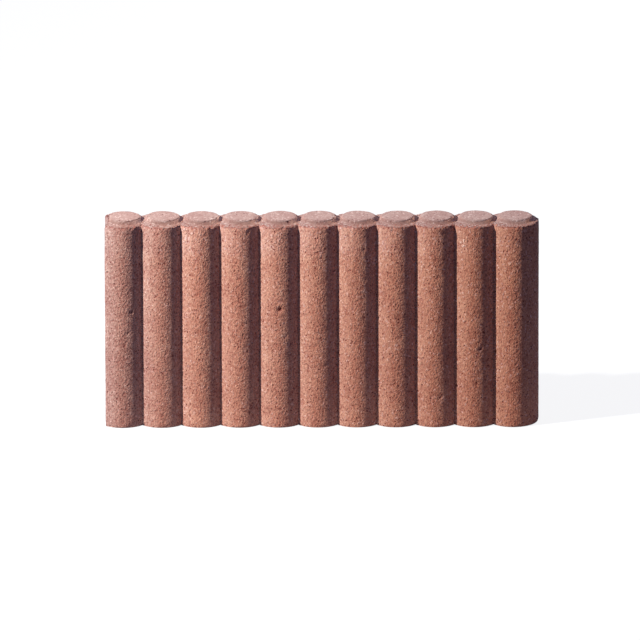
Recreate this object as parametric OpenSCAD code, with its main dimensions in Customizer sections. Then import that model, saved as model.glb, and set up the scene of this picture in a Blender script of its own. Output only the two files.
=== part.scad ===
// Concrete edging stone shaped like a row of round posts standing side by side.
// It is one block of coloured concrete, cast upright and stood on its flat base.
// A row of stones makes the raised border of a bed or a path: the rounded end of
// each stone sits in the hollow end of the next one, so the row can also turn.
//
// Frame, in millimetres: the origin is on the ground at the middle of the
// bounding box, +X runs along the row to the rounded end, -Y is the front and
// +Z is up. Front and back are alike.

/* [Row of columns] */

// Number of columns cast side by side
columns = 11; // [9:1:16]
// Length of border that one stone covers, with its joint
cover_l = 500; // [420:1:600]
// Diameter of each column, which is also the thickness of the stone
column_d = 60; // [50:1:72]
// Height of the stone from its base to its flat tops
stone_h = 250; // [100:1:500]

/* [Caps] */

// Width of the level shoulder around a cap that stands in the middle of its column
shoulder_w = 10; // [8:0.5:14]
// Height of a cap over the shoulder
cap_h = 5; // [2:0.2:8]
// How far the steep wall of a cap leans out from its top to its foot
cap_draft = 0.4; // [0.2:0.1:1]
// How far the caps stand to the right of the columns
cap_right = 1.8; // [-2:0.2:2.4]

/* [Skirts] */

// How far the skirts, the slopes below the caps, stand to the right of the columns
skirt_right = 4.6; // [3:0.2:6]
// Width of the level rim that is left to the right of a skirt
rim_w = 3.4; // [1.6:0.2:5]
// How far the top of a skirt stays under the flat top of its cap
skirt_drop = 0.8; // [0.4:0.1:1.6]

/* [Edges] */

// Width and height of the small chamfer on the rim and on the base
arris = 0.8; // [0.3:0.1:2]

/* [Ends] */

// Radius of the upright hollow that takes the rounded end of the next stone
hollow_r = 50; // [34:1:120]
// Open joint between the rounded end and the bottom of the hollow
joint_gap = 0.5; // [0:0.1:3]

/* [Hidden] */

pitch = cover_l / columns;
column_r = column_d / 2;
shoulder_h = stone_h - cap_h;
cap_r = column_r - shoulder_w;

// A skirt starts a little inside the right edge of its cap and runs down to the rim
tuck = 0.3;
skirt_top_r = cap_r + cap_right - skirt_right - tuck;
skirt_top_h = stone_h - skirt_drop;
skirt_r = column_r - rim_w - skirt_right;

// Where the hollow ends, both measured left from the axis of the first column:
// its bottom on the middle plane, and the tips of the two horns beside it
hollow_reach = pitch - column_r - joint_gap;
hollow_axis = hollow_reach + hollow_r;
horn_reach = (hollow_axis ^ 2 + column_r ^ 2 - hollow_r ^ 2) / (2 * hollow_axis);

// The axis of the first column, with the whole length centred on the origin
row_l = (columns - 1) * pitch;
first_x = (horn_reach - row_l - column_r) / 2;

// Caps and skirts reach this far down into the columns that carry them
sunk = 1;

// The hollow is cut right through, this far past the base and the flat tops
overshoot = 5;

$fn = 96;

// Half of the upright section through a column, from its axis outward
module column_section() {
  polygon([
    [0, 0],
    [column_r - arris, 0],
    [column_r, arris],
    [column_r, shoulder_h - arris],
    [column_r - arris, shoulder_h],
    [0, shoulder_h]
  ]);
}

// Half of the upright section through the cap, a low disc with a steep wall
module cap_section() {
  polygon([
    [0, shoulder_h - sunk],
    [cap_r + cap_draft, shoulder_h - sunk],
    [cap_r + cap_draft, shoulder_h],
    [cap_r, stone_h],
    [0, stone_h]
  ]);
}

// Half of the upright section through the skirt, a low cone cut off under the flat top
module skirt_section() {
  polygon([
    [0, shoulder_h - sunk],
    [skirt_r, shoulder_h - sunk],
    [skirt_r, shoulder_h],
    [skirt_top_r, skirt_top_h],
    [0, skirt_top_h]
  ]);
}

// One round column with the head that was pressed on it a little off its axis
module column() {
  rotate_extrude()
    column_section();
  translate([cap_right, 0, 0])
    rotate_extrude()
      cap_section();
  translate([skirt_right, 0, 0])
    rotate_extrude()
      skirt_section();
}

// The upright hollow in the left end
module end_hollow() {
  translate([first_x - hollow_axis, 0, -overshoot])
    cylinder(h = stone_h + 2 * overshoot, r = hollow_r);
}

// The whole stone: the columns run into each other, less the hollow
module edging_stone() {
  color("#b5796a")
    difference() {
      union() {
        for (i = [0 : columns - 1])
          translate([first_x + i * pitch, 0, 0])
            column();
      }
      end_hollow();
    }
}

edging_stone();
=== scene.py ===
# %% [markdown]
# # A concrete edging stone
#
# The object is a garden border stone: eleven round columns side by side, cast in one block of
# red-brown concrete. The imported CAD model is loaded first, because it fixes every size and
# place. The CAD solid has perfectly smooth walls, while real concrete is sandy, pitted and
# crumbly at its edges, so the steps below build a finer skin over the same form.

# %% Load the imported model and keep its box
import math

import bpy
import numpy as np
from mathutils import Matrix, Vector


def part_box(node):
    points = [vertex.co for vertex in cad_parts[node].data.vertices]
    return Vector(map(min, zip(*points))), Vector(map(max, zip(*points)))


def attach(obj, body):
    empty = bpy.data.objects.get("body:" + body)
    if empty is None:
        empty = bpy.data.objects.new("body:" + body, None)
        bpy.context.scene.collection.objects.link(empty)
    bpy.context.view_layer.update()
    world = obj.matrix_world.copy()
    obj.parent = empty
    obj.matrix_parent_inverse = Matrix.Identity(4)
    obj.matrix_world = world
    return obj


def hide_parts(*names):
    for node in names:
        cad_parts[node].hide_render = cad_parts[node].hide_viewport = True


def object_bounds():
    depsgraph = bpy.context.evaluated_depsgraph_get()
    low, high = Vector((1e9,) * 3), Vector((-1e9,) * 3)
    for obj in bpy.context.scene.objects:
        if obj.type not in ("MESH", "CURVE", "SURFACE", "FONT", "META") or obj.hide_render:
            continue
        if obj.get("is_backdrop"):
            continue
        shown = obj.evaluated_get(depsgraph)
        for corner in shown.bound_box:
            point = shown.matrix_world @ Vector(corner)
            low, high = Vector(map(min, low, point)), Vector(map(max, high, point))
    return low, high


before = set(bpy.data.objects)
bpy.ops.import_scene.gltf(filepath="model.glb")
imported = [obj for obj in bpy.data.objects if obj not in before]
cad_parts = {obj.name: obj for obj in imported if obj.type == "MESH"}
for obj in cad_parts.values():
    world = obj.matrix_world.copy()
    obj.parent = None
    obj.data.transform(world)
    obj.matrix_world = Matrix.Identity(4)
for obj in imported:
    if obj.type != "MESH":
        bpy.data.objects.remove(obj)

cad_box = [list(corner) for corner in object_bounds()]
low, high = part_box("edging_stone")
print("CAD box in mm:", [[round(v * 1000, 2) for v in corner] for corner in cad_box])

# %% [markdown]
# ## The sizes of the stone
#
# Length, thickness and height are read from the CAD box. The sizes inside the form, such as
# the spacing of the columns and the steps of their tops, can't be read from a box, so they are
# named here once, in millimetres, and the overall length that follows from them is compared
# with the box as a check.

# %% Name the sizes and compare them with the CAD box
MM = 0.001
COVER_L, COLUMNS = 500, 11
PITCH = COVER_L / COLUMNS
HEIGHT = (high.z - low.z) / MM
RADIUS = (high.y - low.y) / MM / 2
ARRIS = 0.8

# How far the caps and the skirts stand to the right, and their radii at the top and the foot
CAP_RIGHT, CAP_R, CAP_FOOT_R = 1.8, 20.0, 20.4
SKIRT_RIGHT, SKIRT_R, SKIRT_FOOT_R = 4.6, 16.9, 22.0

# Heights over the ground of the shoulder around the caps and of the skirts' flat tops
CAP_H, SKIRT_DROP = 5.0, 0.8
SHOULDER_Z = HEIGHT - CAP_H
SKIRT_Z = HEIGHT - SKIRT_DROP

# The hollow and the tips of the horns beside it, both measured left from the first column
HOLLOW_R, JOINT_GAP = 50.0, 0.5
HOLLOW_AXIS = PITCH - RADIUS - JOINT_GAP + HOLLOW_R
HORN = (HOLLOW_AXIS**2 + RADIUS**2 - HOLLOW_R**2) / (2 * HOLLOW_AXIS)
FIRST_X = (HORN - (COLUMNS - 1) * PITCH - RADIUS) / 2
length = (COLUMNS - 1) * PITCH + HORN + RADIUS
print(f"length from the sizes {length:.2f} mm, length of the box {(high.x - low.x) / MM:.2f} mm")

# %% [markdown]
# ## The camera
#
# The stone is seen from the front and a little above, from far away with a long lens, so its
# upright edges stay upright and parallel. A long lens is the simple way to get that look
# without shifting the lens.

# %% Set up the camera
DISTANCE = 20.0
ELEVATION = math.radians(17.8)
ROLL = math.radians(-0.13)
SENSOR_MM, FRAME_WIDTH = 36, 0.745
aim = Vector((-0.0023, 0, 0.1222))
back = Vector((0, -math.cos(ELEVATION), math.sin(ELEVATION)))

lens = bpy.data.cameras.new("long_lens")
lens.sensor_width = SENSOR_MM
lens.lens = SENSOR_MM * DISTANCE / FRAME_WIDTH
lens.clip_end = 2.5 * DISTANCE
camera = bpy.data.objects.new("camera", lens)
bpy.context.scene.collection.objects.link(camera)
camera.matrix_world = (
    Matrix.Translation(aim + back * DISTANCE)
    @ back.to_track_quat("Z", "Y").to_matrix().to_4x4()
    @ Matrix.Rotation(ROLL, 4, "Z")
)
bpy.context.scene.camera = camera
print(f"lens {lens.lens:.0f} mm at {DISTANCE} m")

# %% [markdown]
# ## The light
#
# One small lamp to the left and a little in front throws the strong shade down the right side
# of every column. It stands 2.3 m away, so the far end of the stone gets less of it. A
# weak, even sky fills the shade, and a soft lamp behind shows the back of the stone.

# %% Set up the lamps
def add_lamp(name, place, target, size, watts):
    """A square lamp at `place`, turned to face `target`."""
    data = bpy.data.lights.new(name, "AREA")
    data.size = size
    data.energy = watts
    lamp = bpy.data.objects.new(name, data)
    bpy.context.scene.collection.objects.link(lamp)
    direction = place - target
    lamp.matrix_world = (
        Matrix.Translation(place) @ direction.to_track_quat("Z", "Y").to_matrix().to_4x4()
    )
    print(f"{name}: {watts} W, {direction.length:.2f} m away, {size} m wide")


middle = Vector((0, 0, HEIGHT * MM / 2))
key_angle, key_rise, key_far = math.radians(23.5), math.radians(37), 2.3
key_way = Vector((-math.cos(key_rise) * math.cos(key_angle),
                  -math.cos(key_rise) * math.sin(key_angle), math.sin(key_rise)))
add_lamp("key_lamp", middle + key_way * key_far, middle, size=0.07, watts=110)
add_lamp("rear_lamp", Vector((0.9, 2.2, 1.0)), middle, size=1.2, watts=24)

# %% [markdown]
# The sky and all paint are made of nodes. One small function adds a node with its settings and
# its links. Another turns the hex colours of a screen into the linear light that nodes use.

# %% Add nodes and read colours
def node(tree, kind, settings=None, links=None):
    """Adds a node, sets its attributes and sockets, and links its inputs."""
    made = tree.nodes.new(kind)
    for name, value in (settings or {}).items():
        if isinstance(name, int) or name in made.inputs:
            made.inputs[name].default_value = value
        else:
            setattr(made, name, value)
    for name, source in (links or {}).items():
        tree.links.new(source, made.inputs[name])
    return made


def linear(hex_colour):
    """An sRGB hex colour as linear red, green, blue and alpha."""
    parts = [int(hex_colour[i:i + 2], 16) / 255 for i in (1, 3, 5)]
    return [p / 12.92 if p <= 0.04045 else ((p + 0.055) / 1.055) ** 2.4 for p in parts] + [1]


print("a mid grey of #808080 is", round(linear("#808080")[0], 3), "in linear light")

# %% Light the sky
world = bpy.data.worlds.new("studio")
bpy.context.scene.world = world
world.use_nodes = True
bpy.context.scene.view_settings.view_transform = "Standard"
sky = world.node_tree
sky.nodes.clear()
rays = node(sky, "ShaderNodeLightPath")
fill = node(sky, "ShaderNodeBackground", {"Color": linear("#aab3ff"), "Strength": 0.34})
white = node(sky, "ShaderNodeBackground", {"Color": (1, 1, 1, 1), "Strength": 1})
chosen = node(sky, "ShaderNodeMixShader", links={0: rays.outputs["Is Camera Ray"],
                                                1: fill.outputs[0], 2: white.outputs[0]})
node(sky, "ShaderNodeOutputWorld", links={0: chosen.outputs[0]})
print(f"{len(sky.nodes)} nodes in the sky")

# %% [markdown]
# ## The floor
#
# The floor is plain and pale. To the camera it is mostly white, with a light print of the
# stone's shadow. Other rays find pale ground close to the stone and darker ground further
# off, so that light comes back up at the foot of the columns and not much higher. It lies a
# hair under the base, so that the two faces don't fight.

# %% Make the floor
HALF, SLIT = 6.0, 0.0002
corners = [(-HALF, -HALF), (HALF, -HALF), (HALF, HALF), (-HALF, HALF)]
square = bpy.data.meshes.new("floor")
square.from_pydata([(x, y, low.z - SLIT) for x, y in corners], [], [(0, 1, 2, 3)])
floor = bpy.data.objects.new("floor", square)
bpy.context.scene.collection.objects.link(floor)
floor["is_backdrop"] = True
print(f"floor of {2 * HALF} m, {SLIT * 1000} mm under the base")

# %% Paint the floor
paint = bpy.data.materials.new("pale_matt_paint_rolled")
paint.use_nodes = True
tree = paint.node_tree
tree.nodes.clear()
rays = node(tree, "ShaderNodeLightPath")
glow = node(tree, "ShaderNodeEmission", {"Color": (1, 1, 1, 1), "Strength": 0.88})
shadow = node(tree, "ShaderNodeBsdfDiffuse", {"Color": (0.12, 0.12, 0.12, 1)})
seen = node(tree, "ShaderNodeAddShader", links={0: glow.outputs[0], 1: shadow.outputs[0]})
spot = node(tree, "ShaderNodeTexCoord")
depth_way = node(tree, "ShaderNodeSeparateXYZ", links={0: spot.outputs["Object"]}).outputs[1]
away = node(tree, "ShaderNodeMath", {"operation": "ABSOLUTE"}, {0: depth_way}).outputs[0]
ground_tone = node(tree, "ShaderNodeMapRange",
                   {"From Min": 0.05, "From Max": 0.20, "To Min": 0.34, "To Max": 0.1},
                   {"Value": away}).outputs[0]
ground = node(tree, "ShaderNodeBsdfDiffuse", links={"Color": ground_tone})
chosen = node(tree, "ShaderNodeMixShader", links={0: rays.outputs["Is Camera Ray"],
                                                 1: ground.outputs[0], 2: seen.outputs[0]})
node(tree, "ShaderNodeOutputMaterial", links={0: chosen.outputs[0]})
square.materials.append(paint)
print(f"{len(tree.nodes)} nodes in the floor's paint")

# %% [markdown]
# ## The skin of the stone
#
# The real stone was pressed in a mould from earth-dry concrete, so its walls are sandy, its
# edges are crumbly and its caps are worn. A copy of the CAD solid could be cut into tiny faces
# and pushed about, but then the faces would run across the edges and grooves. Here the surface
# is worked out again from the same circles and slopes as the solid, in millimetres, so that
# points run along each edge. The first step is the outline, once around the stone.

# %% Work out the outline
AXES = FIRST_X + PITCH * np.arange(COLUMNS)

# Steps along the front of a column, and along an end or the line between two columns
ARC, LINE = 40, 32


def arc(centre_x, radius, start, end, steps):
    """Points on a circle: the centre plus radius times (cosine, sine) of an even row of angles."""
    angle = np.linspace(start, end, steps + 1)
    return np.stack([centre_x + radius * np.cos(angle), radius * np.sin(angle)], axis=1)


def outline(radius):
    """The stone's outline where its columns have this radius, counterclockwise from the front
    horn. Two columns meet in a groove where the cosine is half the pitch over the radius. The
    horns are where the first column's circle crosses the circle of the hollow."""
    groove = math.acos(PITCH / 2 / radius)
    reach = (HOLLOW_AXIS**2 + radius**2 - HOLLOW_R**2) / (2 * HOLLOW_AXIS)
    horn = math.pi - math.acos(reach / radius)
    half_hollow = math.asin(math.sqrt(radius**2 - reach**2) / HOLLOW_R)
    starts = [horn] + [math.pi - groove] * (COLUMNS - 1)
    front = [arc(x, radius, -start, -groove, ARC)[:-1] for x, start in zip(AXES, starts)]
    end = [arc(AXES[-1], radius, -groove, groove, LINE)[:-1]]
    back = [arc(x, radius, groove, start, ARC)[:-1] for x, start in zip(AXES, starts)][::-1]
    hollow = [arc(AXES[0] - HOLLOW_AXIS, HOLLOW_R, half_hollow, -half_hollow, LINE)[:-1]]
    return np.concatenate(front + end + back + hollow)


LOOP = len(outline(RADIUS))
steps = np.diff(outline(RADIUS), axis=0)
print(f"{LOOP} points around the stone, {np.hypot(*steps.T).mean():.2f} mm apart on average")

# %% [markdown]
# ## The shape of the tops
#
# Each column carries a low round cap, pressed a little to the right of the column. A skirt
# slopes from the cap's right side down to the level shoulder, and ends in the foot of the next
# cap. All of this is a height over the ground plan, so one function of x and y gives it.

# %% Give the height of the tops
def cone(points, centre_x, top_r, top_z, foot_r, foot_z):
    """Height of a cut-off cone: flat inside its top radius, then falling evenly to its foot."""
    distance = np.hypot(points[:, :1] - centre_x, points[:, 1:])
    share = np.clip((distance - top_r) / (foot_r - top_r), 0, None)
    return (top_z + (foot_z - top_z) * share).max(axis=1)


def top_height(points):
    """The highest of three things: the shoulder, the caps and the skirts of all columns."""
    caps = cone(points, AXES + CAP_RIGHT, CAP_R, HEIGHT, CAP_FOOT_R, SHOULDER_Z)
    skirts = cone(points, AXES + SKIRT_RIGHT, SKIRT_R, SKIRT_Z, SKIRT_FOOT_R, SHOULDER_Z)
    return np.maximum(np.maximum(caps, skirts), SHOULDER_Z)


probe = np.array([[AXES[4], 0], [AXES[4] + PITCH / 2, 0], [AXES[4], -28]])
print("heights on a cap, between two caps and on the shoulder:", top_height(probe).round(2))

# %% [markdown]
# ## The top mesh
#
# The top of each column is a disc of rings around the middle of its cap. The rings crowd
# together at the cap's edge, where the surface turns down, and the last ring is the edge of
# the column's ground plan: two arcs and the straight lines shared with the neighbours.

# %% Make the top of each column
# Radii of the rings around a cap's middle, and the least step between two crowded rings
RINGS = np.array([4, 8, 11.5, 14.5, 16.6, 18, 19, 19.6, 20, 20.1, 20.2, 20.3, 20.4,
                  21.2, 22.1, 23, 24, 25, 26.1, 27.2, 28.4, 40])
CROWD = 0.04


def ground_plan(k, rim):
    """The edge of column k's ground plan, counterclockwise from its left front corner."""
    def side(j, sign):
        """The line between columns j and j + 1, from front to back or from back to front."""
        x = (AXES[j] + AXES[j + 1]) / 2
        y = math.sqrt((RADIUS - ARRIS)**2 - (PITCH / 2)**2)
        return np.stack([np.full(LINE + 1, x), np.linspace(-y, y, LINE + 1)], axis=1)[::sign]

    back = ARC * COLUMNS + LINE + ARC * (COLUMNS - 1 - k)
    right = side(k, 1)[:-1] if k < COLUMNS - 1 else rim[ARC * COLUMNS:ARC * COLUMNS + LINE]
    left = side(k - 1, -1)[:-1] if k > 0 else rim[-LINE:]
    return np.concatenate([rim[ARC * k:ARC * (k + 1)], right, rim[back:back + ARC], left])


def ring_faces(first, count):
    """Quads between two closed rings of `count` points, the first ring lying inside."""
    j = np.arange(count)
    k = (j + 1) % count
    return first + np.stack([j, j + count, k + count, k], axis=1)


def cap_patch(k, rim):
    """A disc of rings. Each point lies on the ray from the cap's middle to a point of the
    ground plan's edge, at the ring's radius, or just inside the edge if that comes first."""
    edge = ground_plan(k, rim)
    middle = np.array([AXES[k] + CAP_RIGHT, 0])
    reach = np.hypot(*(edge - middle).T)
    room = reach - CROWD * np.arange(len(RINGS) - 1, -1, -1)[:, None]
    radius = np.minimum(RINGS[:, None], room)
    flat = middle + radius[:, :, None] * ((edge - middle) / reach[:, None])
    flat[-1] = edge
    flat = np.concatenate([flat.reshape(-1, 2), [middle]])
    count = len(edge)
    quads = np.concatenate([ring_faces(i * count, count) for i in range(len(RINGS) - 1)])
    j = np.arange(count)
    pole = np.stack([np.full(count, len(flat) - 1), j, (j + 1) % count], axis=1)
    return np.column_stack([flat, top_height(flat)]), quads, pole


rim = outline(RADIUS - ARRIS)
points, quads, pole = cap_patch(4, rim)
print(f"one top: {len(points)} points, {2 * len(quads) + len(pole)} triangles")

# %% [markdown]
# ## The walls and the base
#
# The wall is the outline repeated row under row. Near the rim the rows are close and keep all
# points, because teeth and chips show there against the light. Further down every second point
# is enough: a band of triangles, three for two, joins the fine rows to the coarser ones.

# %% Make the walls and the base
FINE_DEPTH = 9.8
FINE_Z = SHOULDER_Z - np.array([0, ARRIS, 1.7, 2.7, 3.8, 5.0, 6.4, 8.0, FINE_DEPTH])
COARSE_Z = np.concatenate([np.linspace(FINE_Z[-1] - 2, 4.4, 105), [3.2, 2.0, ARRIS, 0]])


def wall_row(z):
    """The outline at one height, drawn in by the arris at the rim and the base. In the hollow
    the wall goes on up to the tops, and its first rows are stretched evenly to reach them."""
    drawn_in = z in (FINE_Z[0], 0)
    ring = outline(RADIUS - ARRIS if drawn_in else RADIUS)
    stretch = np.clip(1 - (SHOULDER_Z - z) / FINE_DEPTH, 0, 1)
    return np.column_stack([ring, z + (top_height(ring) - SHOULDER_Z) * stretch])


def band(upper, lower, count):
    """Quads between two rows of the wall, given the index of each row's first point."""
    j = np.arange(count)
    k = (j + 1) % count
    return np.stack([lower + j, lower + k, upper + k, upper + j], axis=1)


def base_fan(k):
    """The base of column k: triangles from its middle to every second point of its edge."""
    edge = ground_plan(k, rim)[::2]
    flat = np.column_stack([np.concatenate([edge, [[AXES[k], 0]]]), np.zeros(len(edge) + 1)])
    j = np.arange(len(edge))
    return flat, np.stack([np.full(len(edge), len(edge)), (j + 1) % len(edge), j], axis=1)


fine = [wall_row(z) for z in FINE_Z]
coarse = [wall_row(z)[::2] for z in COARSE_Z]
half = LOOP // 2
wall_points = np.concatenate(fine + coarse)
starts = np.concatenate([np.arange(len(fine)) * LOOP,
                         len(fine) * LOOP + np.arange(len(coarse)) * half])
counts = [LOOP] * (len(fine) - 1) + [0] + [half] * (len(coarse) - 1)
wall_quads = np.concatenate([band(a, b, n) for a, b, n in zip(starts, starts[1:], counts) if n])

j = np.arange(half)
above, below = starts[len(fine) - 1], starts[len(fine)]
a0, a1, a2 = above + 2 * j, above + 2 * j + 1, above + (2 * j + 2) % LOOP
b0, b1 = below + j, below + (j + 1) % half
wall_tris = np.concatenate([np.stack(corners, axis=1)
                            for corners in ((a0, b0, a1), (a1, b0, b1), (a1, b1, a2))])
print(f"walls: {len(wall_points)} points, {2 * len(wall_quads) + len(wall_tris)} triangles")

# %% [markdown]
# ## One closed mesh
#
# The tops, the walls and the bases were made apart, with the same points along their seams.
# Points that lie in the same place are now made one, which closes the skin.

# %% Join the pieces and close the seams
def joined(pieces):
    """Points, quads and triangles of all pieces in one list, with points that share a place
    (to a thousandth of a millimetre) made one and faces that vanish left out."""
    points, quads, tris, start = [], [], [], 0
    for piece_points, piece_quads, piece_tris in pieces:
        points.append(piece_points)
        quads.append(piece_quads + start)
        tris.append(piece_tris + start)
        start += len(piece_points)
    points, quads, tris = np.concatenate(points), np.concatenate(quads), np.concatenate(tris)
    _, first, same = np.unique(points.round(3) + 0.0, axis=0,
                               return_index=True, return_inverse=True)
    same = same.reshape(-1)
    return points[first], same[quads], same[tris]


none = np.empty((0, 4), dtype=int)
pieces = [cap_patch(k, rim) for k in range(COLUMNS)]
pieces += [(wall_points, wall_quads, wall_tris)]
pieces += [(flat, none, fan) for flat, fan in (base_fan(k) for k in range(COLUMNS))]
points, quads, tris = joined(pieces)
sides = np.concatenate([np.stack([f, np.roll(f, -1, axis=1)], axis=2).reshape(-1, 2)
                        for f in (quads, tris)])
pairs, uses = np.unique(np.sort(sides, axis=1), axis=0, return_counts=True)
print(f"{len(points)} points, {2 * len(quads) + len(tris)} triangles, "
      f"{(uses != 2).sum()} open or doubled sides")

# %% [markdown]
# ## The relief
#
# Pressed concrete is never quite even. The wall wanders by a tenth of a millimetre or two, it
# has small dents where coarse grains broke away, the rim is toothed, and the caps are worn down
# a little on their left. All of this is a depth below the smooth skin, worked out from a
# point's place only, so that points that lie close together stay together.

# %% Make a smooth random number for every place
LATTICE = 64


def noise(points, size, seed):
    """Random values on a cubic lattice with this spacing in mm, from -1 to 1, blended along
    each axis with the smooth step 3t^2 - 2t^3. The lattice repeats after 64 cells."""
    table = np.random.default_rng(seed).uniform(-1, 1, (LATTICE, LATTICE, LATTICE))
    cell = np.floor(points / size).astype(int)
    t = points / size - cell
    t = t * t * (3 - 2 * t)
    total = np.zeros(len(points))
    for corner in range(8):
        step = np.array([corner & 1, corner >> 1 & 1, corner >> 2])
        i, j, k = ((cell + step) % LATTICE).T
        total += np.prod(np.where(step, t, 1 - t), axis=1) * table[i, j, k]
    return total


def near(distance, width):
    """A soft weight: 1 at no distance, falling as a bell curve of this width."""
    return np.exp(-(distance / width)**2)


print("spread of the noise at 7 mm:", noise(points, 7, 1).std().round(3))

# %% Find every point's place on its column
x, y, z = points.T
own = np.clip(np.round((x - FIRST_X) / PITCH), 0, COLUMNS - 1).astype(int)
across = x - AXES[own]
from_axis = np.hypot(across, y)
from_cap = np.hypot(across - CAP_RIGHT, y)

# Each share is 1 on its edge and fades over a millimetre or two
rim_edge = near(np.hypot(from_axis - RADIUS + ARRIS / 2, z - SHOULDER_Z + ARRIS / 2), 1.4)
cap_edge = near(np.hypot(from_cap - CAP_R, z - HEIGHT), 1.1)
base_edge = near(np.hypot(from_axis - RADIUS + ARRIS / 2, z - ARRIS / 2), 1.8)
in_hollow = near(np.hypot(x - AXES[0] + HOLLOW_AXIS, y) - HOLLOW_R, 0.5)
mouth_edge = in_hollow * near(z - top_height(points[:, :2]), 1.5)
print("points near the rim, the caps' edges and the base:",
      [int((w > 0.5).sum()) for w in (rim_edge, cap_edge, base_edge)])

# %% [markdown]
# The larger dents are listed by their place on the front: distance from the middle along the
# row, height, radius and depth, all in millimetres. Chips in the caps are listed by their place
# seen from above. A little noise in the distance makes their outlines crooked.
# Smaller dents are scattered at random over the whole stone, with a fixed seed so that they
# stay where they are.

# %% Press in the dents
DENTS = [(-221.5, 141, 1.6, 1.2), (-225.3, 116, 1.5, 1.0), (-49.5, 145, 1.9, 1.8),
         (-47.0, 143, 1.4, 1.2), (-58.9, 95, 1.7, 1.2), (-36.4, 89, 1.6, 1.3),
         (-8.5, 230, 1.5, 1.2), (48.1, 218, 1.5, 1.2), (-95.6, 183, 1.5, 1.0),
         (127.5, 35, 1.7, 1.2), (136.3, 36, 1.5, 1.2), (179.9, 54, 1.7, 1.4),
         (183.4, 95, 1.9, 1.5), (186.0, 93, 1.3, 1.2), (200.8, 90, 1.5, 1.4),
         (156.5, 49, 1.5, 1.4), (-151.2, 66, 1.5, 0.9), (88.0, 132, 1.5, 0.9),
         (221.5, 118, 1.5, 0.9), (14.2, 61, 1.5, 0.9)]
CHIPS = [(-29.5, 3, 1.8, 0.8), (-38.5, -19, 2.0, 1.0), (17.0, 2, 2.2, 1.2),
         (-76.5, -6, 2.0, 0.9), (151.0, -5, 2.0, 1.0), (105.0, -10, 1.8, 0.9)]
SMALL_DENTS = 420
rng = np.random.default_rng(5)
wall = np.flatnonzero((z > 4) & (z < SHOULDER_Z - 2))
scattered = points[rng.choice(wall, SMALL_DENTS)] + rng.uniform(-1, 1, (SMALL_DENTS, 3))
radii, depths = rng.uniform(1.8, 2.9, SMALL_DENTS), rng.uniform(0.25, 0.75, SMALL_DENTS)

dent = np.zeros(len(points))
crooked = 0.35 * noise(points, 3, 4)
for dent_x, dent_z, radius, deep in DENTS:
    away = np.hypot(x - dent_x, 0.7 * (z - dent_z)) / radius + crooked
    dent = np.maximum(dent, np.where(y < 0, deep * np.clip(1.25 - away**2, 0, 1), 0))
for chip_x, chip_y, radius, deep in CHIPS:
    away = np.hypot(x - chip_x, y - chip_y) / radius + crooked
    dent = np.maximum(dent, np.where(z > HEIGHT - 4, deep * np.clip(1.25 - away**2, 0, 1), 0))
for centre, radius, deep in zip(scattered, radii, depths):
    away = np.linalg.norm(points - centre, axis=1) / radius
    dent = np.maximum(dent, deep * np.clip(1 - away**2, 0, 1))
print(f"{(dent > 0.2).sum()} points lie in dents, the deepest {dent.max():.2f} mm")

# %% [markdown]
# Each point is moved along the surface's own direction there, its normal, which is the sum of
# the normals of the faces around it. The depth that it moves is a sum too: a slow wander, finer
# roughness, the dents, and along every edge a ragged loss with a chip here and there.

# %% Find which way is out of the stone
def normals(points, quads, tris):
    """Unit normals: for each point the sum of its faces' normals, weighted by their area."""
    total = np.zeros_like(points)
    for face, a, b, c, d in ((quads, 0, 2, 1, 3), (tris, 0, 1, 0, 2)):
        out = np.cross(points[face[:, b]] - points[face[:, a]],
                       points[face[:, d]] - points[face[:, c]])
        for corner in face.T:
            for axis in range(3):
                total[:, axis] += np.bincount(corner, out[:, axis], len(points))
    return total / np.linalg.norm(total, axis=1, keepdims=True)


facing = normals(points, quads, tris)
print("points that face up and down:", [int((s * facing[:, 2] > 0.9).sum()) for s in (1, -1)])

# %% Add up the depth of the relief
depth = 0.12 + 0.12 * noise(points, 26, 11) + 0.10 * noise(points, 8, 12)
depth += 0.09 * noise(points, 4, 13) + dent
ragged = noise(points, 2.3, 14)
chipped = np.clip(noise(points, 8, 15) - 0.25, 0, 1)
depth += rim_edge * np.clip(0.65 + 1.8 * ragged + 1.6 * chipped, 0, None)
depth += cap_edge * (0.40 + 0.40 * ragged + 1.5 * chipped)
depth += base_edge * (0.35 + 0.50 * ragged + 1.6 * chipped)
depth += mouth_edge * (0.50 + 0.60 * ragged + 1.5 * chipped)
print(f"depth of the relief: {depth.min():.2f} to {depth.max():.2f} mm")

# %% [markdown]
# Changes of height come on top. The flat caps sink a little at their worn left. A cap's edge
# is worn round over its last 2 mm and the corner at its foot is filled over 3.4 mm, by up to
# 1.2 mm, and by less where the step down to the skirt is low, so that the two never cross. The
# rim rolls off a little, and the slope on the right of each cap is hollowed, which keeps it in
# shade. Each change belongs to a cap, a skirt or the shoulder, so their points are told apart.

# %% Tell the caps from the skirts
cap_top = cone(points[:, :2], AXES + CAP_RIGHT, CAP_R, HEIGHT, CAP_FOOT_R, SHOULDER_Z)
skirt_top = cone(points[:, :2], AXES + SKIRT_RIGHT, SKIRT_R, SKIRT_Z, SKIRT_FOOT_R, SHOULDER_Z)
skirt_top = np.maximum(skirt_top, SHOULDER_Z)
SAME = 0.01                         # heights this close, in mm, are the same height
of_cap = (np.abs(z - cap_top) < SAME) & (z > SHOULDER_Z + SAME)
of_skirt = (np.abs(z - skirt_top) < SAME) & ~of_cap & (z > SHOULDER_Z + SAME)
print(f"{of_cap.sum()} points on the caps, {of_skirt.sum()} on the skirts")

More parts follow.
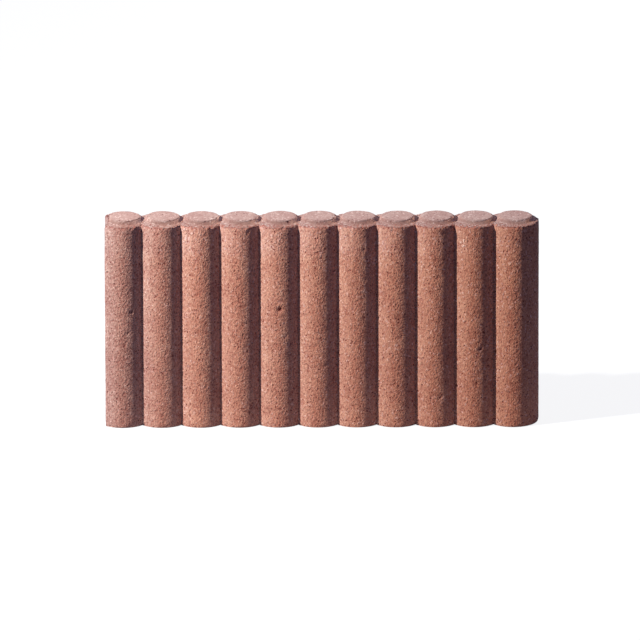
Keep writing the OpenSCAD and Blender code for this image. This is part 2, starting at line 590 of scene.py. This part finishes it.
# %% Wear and fill the heads
# Radius at which a cap's edge starts to be worn, and the widths of the wear and of the filling
WORN_FROM, WORN_WIDTH, FILLED_WIDTH = 17.8, 2.2, 3.4
soften = np.minimum(1.2, 0.44 * (HEIGHT - skirt_top))
edge_wear = 0.9 * soften * np.clip((from_cap - WORN_FROM) / WORN_WIDTH, 0, 1)**2 * of_cap
fillet = soften * np.clip(1 - (from_cap - CAP_R) / FILLED_WIDTH, 0, 1)**1.5 * ~of_cap
fillet *= z > SHOULDER_Z - SAME

# The worn left starts 11 mm left of the axis, and the rim rolls off from 27 mm around it
left_wear = np.clip((-11 - across + 1.2 * noise(points, 5, 2)) / 7, 0, 1)
left_wear *= from_cap < CAP_FOOT_R + 0.02
roll_off = np.clip((from_axis - 27) / 2.2, 0, 1)**2
roll_off *= np.clip(1 - (SHOULDER_Z - z) / FINE_DEPTH, 0, 1) * (z < SHOULDER_Z + SAME)
beak = of_skirt * np.clip((SKIRT_Z - z) / 4.2, 0, 1) * np.clip(1 - (y / 14)**2, 0, 1)
print(f"edges worn by up to {edge_wear.max():.2f} mm, corners filled by {fillet.max():.2f} mm")

# %% Move the points into the stone
moved = points - facing * depth[:, None]
moved[:, 2] -= 0.4 * left_wear * np.clip((z - SHOULDER_Z) / CAP_H, 0, 1)
moved[:, 2] += fillet - edge_wear * np.clip((z - skirt_top) / (HEIGHT - skirt_top), 0, 1)
moved[:, 2] -= 0.4 * roll_off + 0.25 * beak
moved[:, 2] = np.where(z < SAME, 0, np.clip(moved[:, 2], 0, HEIGHT))
print("the skin's box in mm:", moved.min(axis=0).round(2), moved.max(axis=0).round(2))

# %% [markdown]
# The finish needs to know places that only the shape knows, such as what is a cap and what is
# its left or right. The mesh carries them as a share per point: how pale the struck-off skin
# is (1 on the caps and to their left, half on the front, none on the right slope, which lies in
# shade and so takes the redder wall colour as painted shade), how far a point is inside the
# hollow near its top, the dents, the worn edges, and the crumbled top edge of the hollow, whose
# dark colour is painted shade.

# %% Find where the tops are pale
# The right slope of a skirt lies 14 to 30 mm right of its column's axis. It lies in shade, and
# leaving the pale skin off it gives it the redder wall colour: painted shade.
right_by = np.mod(x - FIRST_X, PITCH)
shaded = of_skirt * np.clip((right_by - 14) / 4, 0, 1) * (right_by < 30)
left_pale = 0.5 + 0.5 * np.clip(1 - (across + 13) / 14, 0, 1)
pale = np.where(of_cap, np.clip((z - SHOULDER_Z) / CAP_H, left_pale, 1), left_pale)
pale *= 1 - shaded
print(f"pale share of the tops, on average: {pale[z > SHOULDER_Z].mean():.2f}")

# %% Put the skin into a mesh
mesh = bpy.data.meshes.new("edging_stone_skin")
mesh.from_pydata((moved * MM).tolist(), [], quads.tolist() + tris.tolist())
mesh.shade_smooth()
mesh.set_sharp_from_angle(angle=math.radians(50))
shares = {
    "dent": np.clip(dent, 0, 1),
    "worn": np.clip(rim_edge + 0.8 * cap_edge + 0.5 * base_edge, 0, 1),
    "pale": pale,
    "inside": in_hollow * np.clip((z - 215) / 15, 0, 1),
    # The dark along the crumbled top edge of the hollow is painted shade.
    "hollow_edge_shade": np.clip(1.3 * mouth_edge, 0, 1),
}
for name, values in shares.items():
    layer = mesh.attributes.new(name, "FLOAT", "POINT")
    layer.data.foreach_set("value", values.astype(np.float32))
skin = bpy.data.objects.new("edging_stone_skin", mesh)
bpy.context.scene.collection.objects.link(skin)
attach(skin, "root")
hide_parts("edging_stone")
print(f"{len(mesh.vertices)} vertices, {len(mesh.polygons)} faces")

# %% [markdown]
# ## The concrete
#
# The stone is earth-dry concrete, coloured through with red iron oxide and pressed in a steel
# mould. That gives the eye a matt, sandy red-brown: pale and dark sand grains in a coloured
# paste, pits and pores where the dry mix didn't close, and soft clouds and upright streaks
# where it was wetter or drier. The tops were struck off, and are paler. The colours could be
# painted on an image, but patterns on Object coordinates have no seams, so they are worked out
# from the place in millimetres, and from the shares that the mesh carries.

# %% Start the material with places in millimetres
concrete = bpy.data.materials.new("red_concrete_pressed")
concrete.use_nodes = True
tree = concrete.node_tree
tree.nodes.clear()
coords = node(tree, "ShaderNodeTexCoord")
place = node(tree, "ShaderNodeVectorMath", {"operation": "MULTIPLY", 1: (1000, 1000, 1000)},
             {0: coords.outputs["Object"]}).outputs[0]
place_parts = node(tree, "ShaderNodeSeparateXYZ", links={0: place})
along, up = place_parts.outputs[0], place_parts.outputs[2]
surface = node(tree, "ShaderNodeNewGeometry")
to_right = node(tree, "ShaderNodeSeparateXYZ",
                links={0: surface.outputs["Normal"]}).outputs[0]
share = {name: node(tree, "ShaderNodeAttribute", {"attribute_name": name}).outputs["Fac"]
         for name in shares}
print("shares from the mesh:", list(share))

# %% [markdown]
# Clouds are about 30 mm wide, and streaks are the same kind of pattern, stretched upright. The
# grain is a finer noise of 1.8 mm. Real sand of this kind is half a millimetre wide, too fine
# to show at this distance, so its cells are drawn 1.7 mm wide. Coarser grit of 2.5 mm lies
# under it, with crevices where its cells meet. Cells look too regular, like a honeycomb, so
# the places of sand and grit are first pushed about by up to 1.5 mm.

# %% Make the clouds, streaks, grain, sand and grit
clouds = node(tree, "ShaderNodeTexNoise", {"Scale": 1 / 30, "Detail": 3, "Roughness": 0.6},
              {"Vector": place}).outputs[0]
stretched = node(tree, "ShaderNodeVectorMath", {"operation": "MULTIPLY", 1: (1, 1, 0.15)},
                 {0: place}).outputs[0]
streaks = node(tree, "ShaderNodeTexNoise", {"Scale": 1 / 7, "Detail": 2, "Roughness": 0.6},
               {"Vector": stretched}).outputs[0]
upright = node(tree, "ShaderNodeVectorMath", {"operation": "MULTIPLY", 1: (1, 1, 0.85)},
               {0: place}).outputs[0]
grain = node(tree, "ShaderNodeTexNoise", {"Scale": 1 / 1.8, "Detail": 3, "Roughness": 0.7},
             {"Vector": upright}).outputs[0]
waver = node(tree, "ShaderNodeTexNoise", {"Scale": 1 / 4, "Detail": 1}, {"Vector": upright})
warped = node(tree, "ShaderNodeVectorMath", {"operation": "MULTIPLY_ADD", 1: (3, 3, 3)},
              {0: waver.outputs["Color"], 2: upright}).outputs[0]
sand = node(tree, "ShaderNodeTexVoronoi", {"Scale": 1 / 1.7}, {"Vector": warped})
sand_tone = node(tree, "ShaderNodeSeparateColor", links={0: sand.outputs["Color"]})
grit = node(tree, "ShaderNodeTexVoronoi", {"Scale": 1 / 2.5}, {"Vector": warped})
print(f"{len(tree.nodes)} nodes up to the grit")

# %% [markdown]
# A hole is the middle of a cell, and a random number per cell gives its width, so that some
# cells have none. Cells of 2.7 mm give pits of up to 2 mm, and cells of 4.5 mm give the rarer
# pores, which are deeper and darker than the pits. The darkening of both is painted shade in
# the holes. The distance from the middle, less the width, is below zero inside the hole, and a
# short range around zero gives it a soft edge.

# %% Make the pits and the pores
holes = {}
for name, size, where, channel, least, widths, edge in (
        ("pit", 2.7, warped, 2, 0.25, (0.05, 0.42), -0.16),
        ("pore", 4.5, place, 0, 0.45, (0.02, 0.26), -0.08)):
    cells = node(tree, "ShaderNodeTexVoronoi", {"Scale": 1 / size}, {"Vector": where})
    cell_tone = node(tree, "ShaderNodeSeparateColor", links={0: cells.outputs["Color"]})
    width = node(tree, "ShaderNodeMapRange",
                 {"From Min": least, "From Max": 1, "To Min": widths[0], "To Max": widths[1]},
                 {"Value": cell_tone.outputs[channel]}).outputs[0]
    inward = node(tree, "ShaderNodeMath", {"operation": "SUBTRACT"},
                  {0: cells.outputs["Distance"], 1: width}).outputs[0]
    holes[name] = node(tree, "ShaderNodeMapRange",
                       {"From Min": edge, "From Max": 0, "To Min": 1, "To Max": 0},
                       {"Value": inward}).outputs[0]
print("holes:", list(holes))

# %% [markdown]
# The pale skin of the tops ends at a ragged line a little below the rim, and a thin ragged row
# of darker marks lies under it. Both come from the height, made uneven by the grain. Slopes
# that turn to the right lie in shade, and the pale skin is left off them, so that they take
# the redder wall colour: painted shade. Dust from the tops is washed down over the 30 mm of
# wall below them, less at both ends, and not on the right of a column. Loops over a table of
# ranges keep the numbers together: a source, the range that is read from it, and the range that
# is made of it.

# %% Find the skin of the tops
ragged_by = node(tree, "ShaderNodeMapRange",
                 {"From Min": 0.35, "From Max": 0.65, "To Min": -1.7, "To Max": 1.5},
                 {"Value": grain}).outputs[0]
uneven = node(tree, "ShaderNodeMath", {"operation": "ADD"}, {0: up, 1: ragged_by}).outputs[0]
part = {}
for name, source, start, end, first, last in (
        ("on_head", uneven, 243.9, 244.2, 0, 1), ("over_dark_row", uneven, 242.4, 243.2, 0, 1),
        ("below_head", uneven, 243.9, 244.2, 1, 0), ("flank", to_right, 0.25, 0.5, 1, 0)):
    part[name] = node(tree, "ShaderNodeMapRange",
                      {"From Min": start, "From Max": end, "To Min": first, "To Max": last},
                      {"Value": source}).outputs[0]
# A thin ragged row under the rim is made darker.
under_rim_dark = node(tree, "ShaderNodeMath", {"operation": "MULTIPLY"},
            {0: part["over_dark_row"], 1: part["below_head"]}).outputs[0]
# The pale skin is left off slopes that turn right into the shade: painted shade.
pale_out_of_shade = node(tree, "ShaderNodeMath", {"operation": "MULTIPLY"},
                 {0: share["pale"], 1: part["flank"]}).outputs[0]
head = node(tree, "ShaderNodeMath", {"operation": "MULTIPLY"},
            {0: part["on_head"], 1: pale_out_of_shade}).outputs[0]
calm = node(tree, "ShaderNodeMapRange",
            {"From Min": 0, "From Max": 1, "To Min": 1, "To Max": 0.43},
            {"Value": part["on_head"]}).outputs[0]
washed = part["below_head"]
for source, start, end, first, last in (
        (up, 203, 217, 0, 1), (along, -215, -165, 0.3, 1), (along, 70, 180, 1, 0.5),
        (to_right, 0, 0.4, 1, 0)):
    amount = node(tree, "ShaderNodeMapRange",
                  {"From Min": start, "From Max": end, "To Min": first, "To Max": last},
                  {"Value": source}).outputs[0]
    washed = node(tree, "ShaderNodeMath", {"operation": "MULTIPLY"},
                  {0: washed, 1: amount}).outputs[0]
print("made from the height and the slope:", list(part))

# %% [markdown]
# The colour is painted in layers, as a share of one hex colour over the last: the clouds, the
# redder right end, the dusty left end, the struck-off shoulder and caps, left off the slopes in
# shade as painted shade, the hollow end, the worn edges, a dark painted shade along the
# crumbled top edge of the hollow, and last the pale and dark sand.

# %% Blend the colours
colour = node(tree, "ShaderNodeMix",
              {"data_type": "RGBA", 6: linear("#be8771"), 7: linear("#c3917b")},
              {0: clouds}).outputs[2]
for source, start, end, first, last, paste in (
        (along, -60, 200, 0, 1, "#b98066"), (along, -250, -150, 0.75, 0, "#aa877e"),
        (head, 0, 0.5, 0, 1, "#966c5f"), (head, 0.5, 1, 0, 1, "#9a776d"),
        (share["inside"], 0, 1, 0, 0.85, "#957b74"), (share["worn"], 0, 1, 0, 0.2, "#cfa496"),
        (share["hollow_edge_shade"], 0, 1, 0, 0.7, "#7d423b"),
        (sand_tone.outputs[0], 0.86, 0.98, 0, 0.4, "#e0c0b4"),
        (sand_tone.outputs[1], 0.86, 0.98, 0, 0.4, "#6e4038")):
    amount = node(tree, "ShaderNodeMapRange",
                  {"From Min": start, "From Max": end, "To Min": first, "To Max": last},
                  {"Value": source}).outputs[0]
    colour = node(tree, "ShaderNodeMix", {"data_type": "RGBA", 7: linear(paste)},
                  {0: amount, 6: colour}).outputs[2]
print(f"{len(tree.nodes)} nodes up to the last colour")

# %% [markdown]
# The tone is a number around 1 that the colour is multiplied by. The grain and the crevices of
# the grit make its fine part, which is calmer on the struck-off tops; the darker crevices are
# painted shade. The other patterns each multiply it by their own range: clouds, streaks, and
# pores, pits and dents made darker as painted shade in these hollows, the darker row under the
# rim, a painted falloff of the lamp's light that is darker at the foot, the dust washed down,
# and painted shade on the left flanks that face the lamp, which flattens their light.

# %% Gather the tone
grains = []
# The crevices between the pieces of grit are darker: painted shade.
for source, start, end, first, last in (
        (grain, 0.25, 0.75, -0.34, 0.34), (grit.outputs["Distance"], 0.45, 0.80, 0.04, -0.22)):
    grains.append(node(tree, "ShaderNodeMapRange",
                       {"From Min": start, "From Max": end, "To Min": first, "To Max": last},
                       {"Value": source}).outputs[0])
both = node(tree, "ShaderNodeMath", {"operation": "ADD"},
            {0: grains[0], 1: grains[1]}).outputs[0]
tone = node(tree, "ShaderNodeMath", {"operation": "MULTIPLY_ADD", 2: 1.0},
            {0: both, 1: calm}).outputs[0]
calm_pit = node(tree, "ShaderNodeMath", {"operation": "MULTIPLY"},
                {0: holes["pit"], 1: calm}).outputs[0]
crumb = node(tree, "ShaderNodeMapRange",
             {"From Min": 0.3, "From Max": 0.7, "To Min": -0.35, "To Max": 0.35},
             {"Value": grain}).outputs[0]
dent_shade = node(tree, "ShaderNodeMath", {"operation": "ADD"},
              {0: share["dent"], 1: crumb}).outputs[0]
# Pores, pits and dents are made darker here: painted shade in these hollows.
for source, start, end, first, last in (
        (clouds, 0.3, 0.7, 0.90, 1.09), (streaks, 0.3, 0.7, 0.94, 1.05),
        (holes["pore"], 0, 1, 1, 0.45), (calm_pit, 0, 1, 1.07, 0.40),
        # The range on the height is a painted falloff of the lamp's light, darker at the foot.
        (dent_shade, 0.55, 0.85, 1, 0.4), (under_rim_dark, 0, 1, 1, 0.55), (up, 0, 245, 0.98, 1.04),
        # The range on to_right darkens the left flanks that face the lamp: painted shade.
        (washed, 0, 1, 1, 1.08), (to_right, -0.75, -0.3, 0.88, 1.02)):
    factor = node(tree, "ShaderNodeMapRange",
                  {"From Min": start, "From Max": end, "To Min": first, "To Max": last},
                  {"Value": source}).outputs[0]
    tone = node(tree, "ShaderNodeMath", {"operation": "MULTIPLY"},
                {0: tone, 1: factor}).outputs[0]
print(f"{len(tree.nodes)} nodes up to the tone")

# %% [markdown]
# Light that is caught in a crevice meets the red paste again and again, so what is darker is
# also redder: red is darkened less than green and blue, a painted reddening of the shade. The
# crown of a column, where the surface turns neither left nor right and the lamp from the left
# only grazes it, is painted redder than its lit left side, and its right side in shade a little
# redder: painted colour of half light and shade. The struck-off tops are left out of it. The
# dust that was washed down is paler and less red.

# %% Tint the colour by the tone
turns = {}
for name, start, end, last in (("left", -0.6, -0.1, 1), ("right", 0.1, 0.5, 0.45)):
    turns[name] = node(tree, "ShaderNodeMapRange",
                       {"From Min": start, "From Max": end, "To Min": 0, "To Max": last},
                       {"Value": to_right}).outputs[0]
crown = node(tree, "ShaderNodeMath", {"operation": "SUBTRACT"},
             {0: turns["left"], 1: turns["right"]}).outputs[0]
crown = node(tree, "ShaderNodeMath", {"operation": "MULTIPLY"},
             {0: crown, 1: part["below_head"]}).outputs[0]
tint = {0: node(tree, "ShaderNodeMath", {"operation": "POWER", 1: 0.7}, {0: tone}).outputs[0]}
darker = node(tree, "ShaderNodeMath", {"operation": "POWER", 1: 1.25}, {0: tone}).outputs[0]
# The crown and the shaded right side are tinted redder: painted colour of half light and shade.
for channel, on_flank, on_crown, near_top in ((1, 1.02, 0.83, 1.05), (2, 1.01, 0.75, 1.13)):
    painted_light_flush = node(tree, "ShaderNodeMapRange",
                 {"From Min": 0, "From Max": 1, "To Min": on_flank, "To Max": on_crown},
                 {"Value": crown}).outputs[0]
    haze = node(tree, "ShaderNodeMapRange",
                {"From Min": 0, "From Max": 1, "To Min": 1, "To Max": near_top},
                {"Value": washed}).outputs[0]
    tint[channel] = node(tree, "ShaderNodeMath", {"operation": "MULTIPLY"},
                         {0: darker, 1: painted_light_flush}).outputs[0]
    tint[channel] = node(tree, "ShaderNodeMath", {"operation": "MULTIPLY"},
                         {0: tint[channel], 1: haze}).outputs[0]
tinted = node(tree, "ShaderNodeCombineXYZ", links=tint).outputs[0]
painted = node(tree, "ShaderNodeVectorMath", {"operation": "MULTIPLY"},
               {0: colour, 1: tinted}).outputs[0]
print(f"{len(tree.nodes)} nodes up to the tint")

# %% [markdown]
# The bump is a height in millimetres. The grain rises by up to 0.7, each sand grain is a dome
# of 0.18 and each piece of grit one of 0.4, and a pit goes in by 0.35. All of that is calmer
# on the tops. A pore goes in by 0.9. Rough concrete sends light back evenly in all directions,
# so that its lit side looks flat. The full diffuse roughness gives that.

# %% Add the bump and the shader
height = node(tree, "ShaderNodeMath", {"operation": "MULTIPLY", 1: 0.7}, {0: grain}).outputs[0]
for source, start, end, first, last in (
        (sand.outputs["Distance"], 0, 0.7, 0.18, 0), (grit.outputs["Distance"], 0.1, 0.8, 0.4, 0),
        (holes["pit"], 0, 1, 0, -0.35)):
    rise = node(tree, "ShaderNodeMapRange",
                {"From Min": start, "From Max": end, "To Min": first, "To Max": last},
                {"Value": source}).outputs[0]
    height = node(tree, "ShaderNodeMath", {"operation": "ADD"},
                  {0: height, 1: rise}).outputs[0]
height = node(tree, "ShaderNodeMath", {"operation": "MULTIPLY"},
              {0: height, 1: calm}).outputs[0]
height = node(tree, "ShaderNodeMath", {"operation": "MULTIPLY_ADD", 1: -0.9},
              {0: holes["pore"], 2: height}).outputs[0]
bump = node(tree, "ShaderNodeBump", {"Strength": 1.0, "Distance": 0.001}, {"Height": height})
matt = node(tree, "ShaderNodeMapRange",
            {"From Min": 0.3, "From Max": 0.7, "To Min": 0.86, "To Max": 0.98},
            {"Value": grain}).outputs[0]
shader = node(tree, "ShaderNodeBsdfPrincipled",
              {"IOR": 1.5, "Specular IOR Level": 0.25, "Diffuse Roughness": 1.0},
              {"Base Color": painted, "Roughness": matt, "Normal": bump.outputs[0]})
node(tree, "ShaderNodeOutputMaterial", links={0: shader.outputs[0]})
skin.data.materials.append(concrete)
print(f"{len(tree.nodes)} nodes in the concrete")

# %% Print the sizes and finish
size = {"cad": cad_box, "visual": [list(corner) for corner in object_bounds()]}
for name, box in size.items():
    print(name, "box in mm:", [[round(v * 1000, 2) for v in corner] for corner in box])
